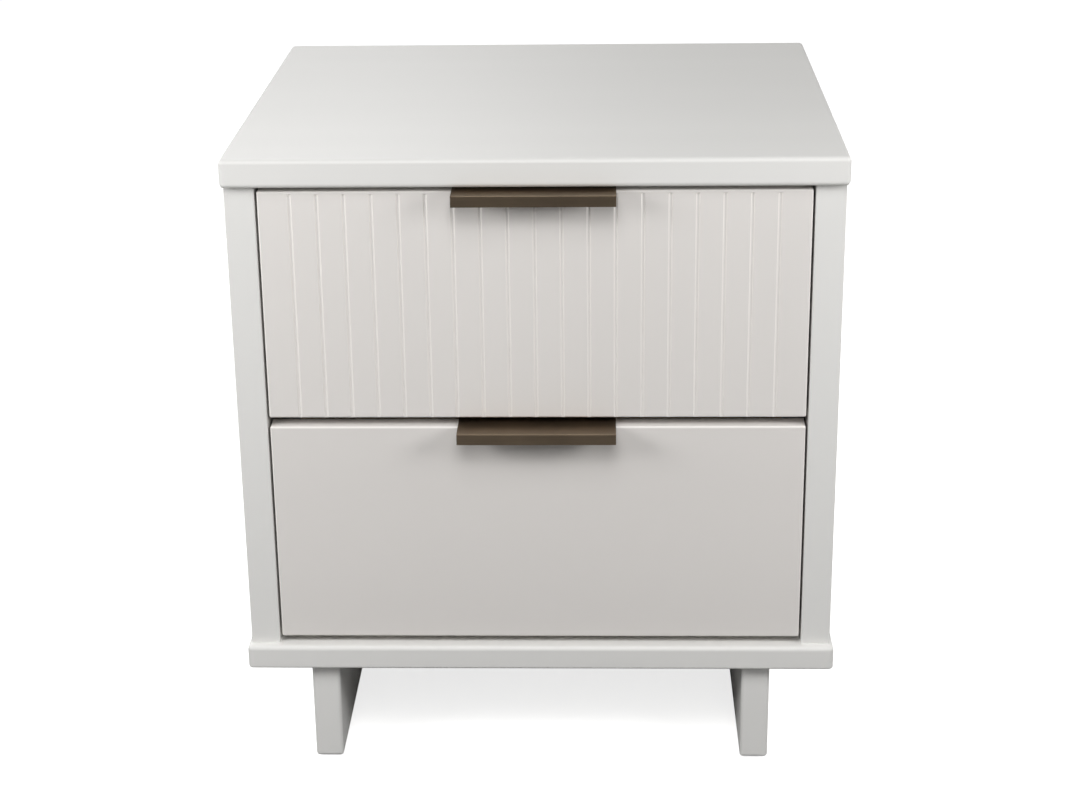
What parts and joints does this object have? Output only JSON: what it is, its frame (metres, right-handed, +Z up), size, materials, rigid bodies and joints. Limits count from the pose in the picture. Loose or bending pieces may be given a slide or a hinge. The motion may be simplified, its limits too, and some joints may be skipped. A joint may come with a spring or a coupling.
{
  "type": "nightstand with drawers",
  "caption": "White-painted bedside cabinet on plank legs, with inset drawers that slide out on ball-bearing rails and open by slim metal lip pulls.",
  "frame": {"origin": "on the floor, under the middle of the whole piece's width and depth, pulls included", "axes": "+X to the right, +Y to the back, +Z up; the drawers open towards -Y"},
  "size_m": [0.5116, 0.4716, 0.5524],
  "materials": {
    "painted_wood": "satin white lacquer sprayed on solid wood",
    "back_board": "thin board, white foil",
    "bronze_metal": "brushed aluminium, bronze anodised",
    "drawer_wood": "clear-lacquered birch",
    "drawer_ply": "birch plywood",
    "beech": "turned beech",
    "screw_steel": "zinc-plated steel",
    "slide_steel": "zinc-plated rolled steel",
    "cage_plastic": "moulded",
    "ball_steel": "polished bearing steel",
    "cam_zinc": "zinc die casting",
    "nylon": "moulded nylon"
  },
  "bodies": {
    "cabinet": {"back_panel": "back_board", "back_panel_screws": "screw_steel", "bottom_panel": "painted_wood", "cabinet_rail_screws": "screw_steel", "cam_bolts": "cam_zinc", "cam_locks": "cam_zinc", "carcass_dowels": "beech", "left_leg": "painted_wood", "left_side_panel": "painted_wood", "leg_glides": "nylon", "leg_screws": "screw_steel", "lower_left_cabinet_rail": "slide_steel", "lower_right_cabinet_rail": "slide_steel", "right_leg": "painted_wood", "right_side_panel": "painted_wood", "top_panel": "painted_wood", "upper_left_cabinet_rail": "slide_steel", "upper_right_cabinet_rail": "slide_steel"},
    "upper_drawer": {"upper_box_back": "drawer_wood", "upper_box_bottom": "drawer_ply", "upper_box_dowels": "beech", "upper_box_front": "drawer_wood", "upper_box_left_side": "drawer_wood", "upper_box_right_side": "drawer_wood", "upper_drawer_front": "painted_wood", "upper_drawer_rail_screws": "screw_steel", "upper_front_screws": "screw_steel", "upper_left_drawer_rail": "slide_steel", "upper_pull": "bronze_metal", "upper_pull_screws": "screw_steel", "upper_right_drawer_rail": "slide_steel"},
    "upper_middle_rails": {"upper_left_middle_rail": "slide_steel", "upper_right_middle_rail": "slide_steel"},
    "upper_outer_cages": {"upper_outer_ball_cages": "cage_plastic", "upper_outer_balls": "ball_steel"},
    "upper_inner_cages": {"upper_inner_ball_cages": "cage_plastic", "upper_inner_balls": "ball_steel"},
    "lower_drawer": {"lower_box_back": "drawer_wood", "lower_box_bottom": "drawer_ply", "lower_box_dowels": "beech", "lower_box_front": "drawer_wood", "lower_box_left_side": "drawer_wood", "lower_box_right_side": "drawer_wood", "lower_drawer_front": "painted_wood", "lower_drawer_rail_screws": "screw_steel", "lower_front_screws": "screw_steel", "lower_left_drawer_rail": "slide_steel", "lower_pull": "bronze_metal", "lower_pull_screws": "screw_steel", "lower_right_drawer_rail": "slide_steel"},
    "lower_middle_rails": {"lower_left_middle_rail": "slide_steel", "lower_right_middle_rail": "slide_steel"},
    "lower_outer_cages": {"lower_outer_ball_cages": "cage_plastic", "lower_outer_balls": "ball_steel"},
    "lower_inner_cages": {"lower_inner_ball_cages": "cage_plastic", "lower_inner_balls": "ball_steel"}
  },
  "joints": [
    {"name": "upper_drawer_slide", "type": "slide", "parent": "cabinet", "child": "upper_drawer", "axis": [0, -1, 0], "range_m": [0, 0.38]},
    {"name": "upper_middle_rails_slide", "type": "slide", "parent": "cabinet", "child": "upper_middle_rails", "axis": [0, -1, 0], "range_m": [0, 0.19]},
    {"name": "upper_outer_cages_slide", "type": "slide", "parent": "cabinet", "child": "upper_outer_cages", "axis": [0, -1, 0], "range_m": [0, 0.095]},
    {"name": "upper_inner_cages_slide", "type": "slide", "parent": "cabinet", "child": "upper_inner_cages", "axis": [0, -1, 0], "range_m": [0, 0.285]},
    {"name": "lower_drawer_slide", "type": "slide", "parent": "cabinet", "child": "lower_drawer", "axis": [0, -1, 0], "range_m": [0, 0.38]},
    {"name": "lower_middle_rails_slide", "type": "slide", "parent": "cabinet", "child": "lower_middle_rails", "axis": [0, -1, 0], "range_m": [0, 0.19]},
    {"name": "lower_outer_cages_slide", "type": "slide", "parent": "cabinet", "child": "lower_outer_cages", "axis": [0, -1, 0], "range_m": [0, 0.095]},
    {"name": "lower_inner_cages_slide", "type": "slide", "parent": "cabinet", "child": "lower_inner_cages", "axis": [0, -1, 0], "range_m": [0, 0.285]}
  ],
  "couplings": [
    {"joint": "upper_middle_rails_slide", "follows": "upper_drawer_slide", "ratio": 0.5},
    {"joint": "upper_outer_cages_slide", "follows": "upper_drawer_slide", "ratio": 0.25},
    {"joint": "upper_inner_cages_slide", "follows": "upper_drawer_slide", "ratio": 0.75},
    {"joint": "lower_middle_rails_slide", "follows": "lower_drawer_slide", "ratio": 0.5},
    {"joint": "lower_outer_cages_slide", "follows": "lower_drawer_slide", "ratio": 0.25},
    {"joint": "lower_inner_cages_slide", "follows": "lower_drawer_slide", "ratio": 0.75}
  ]
}
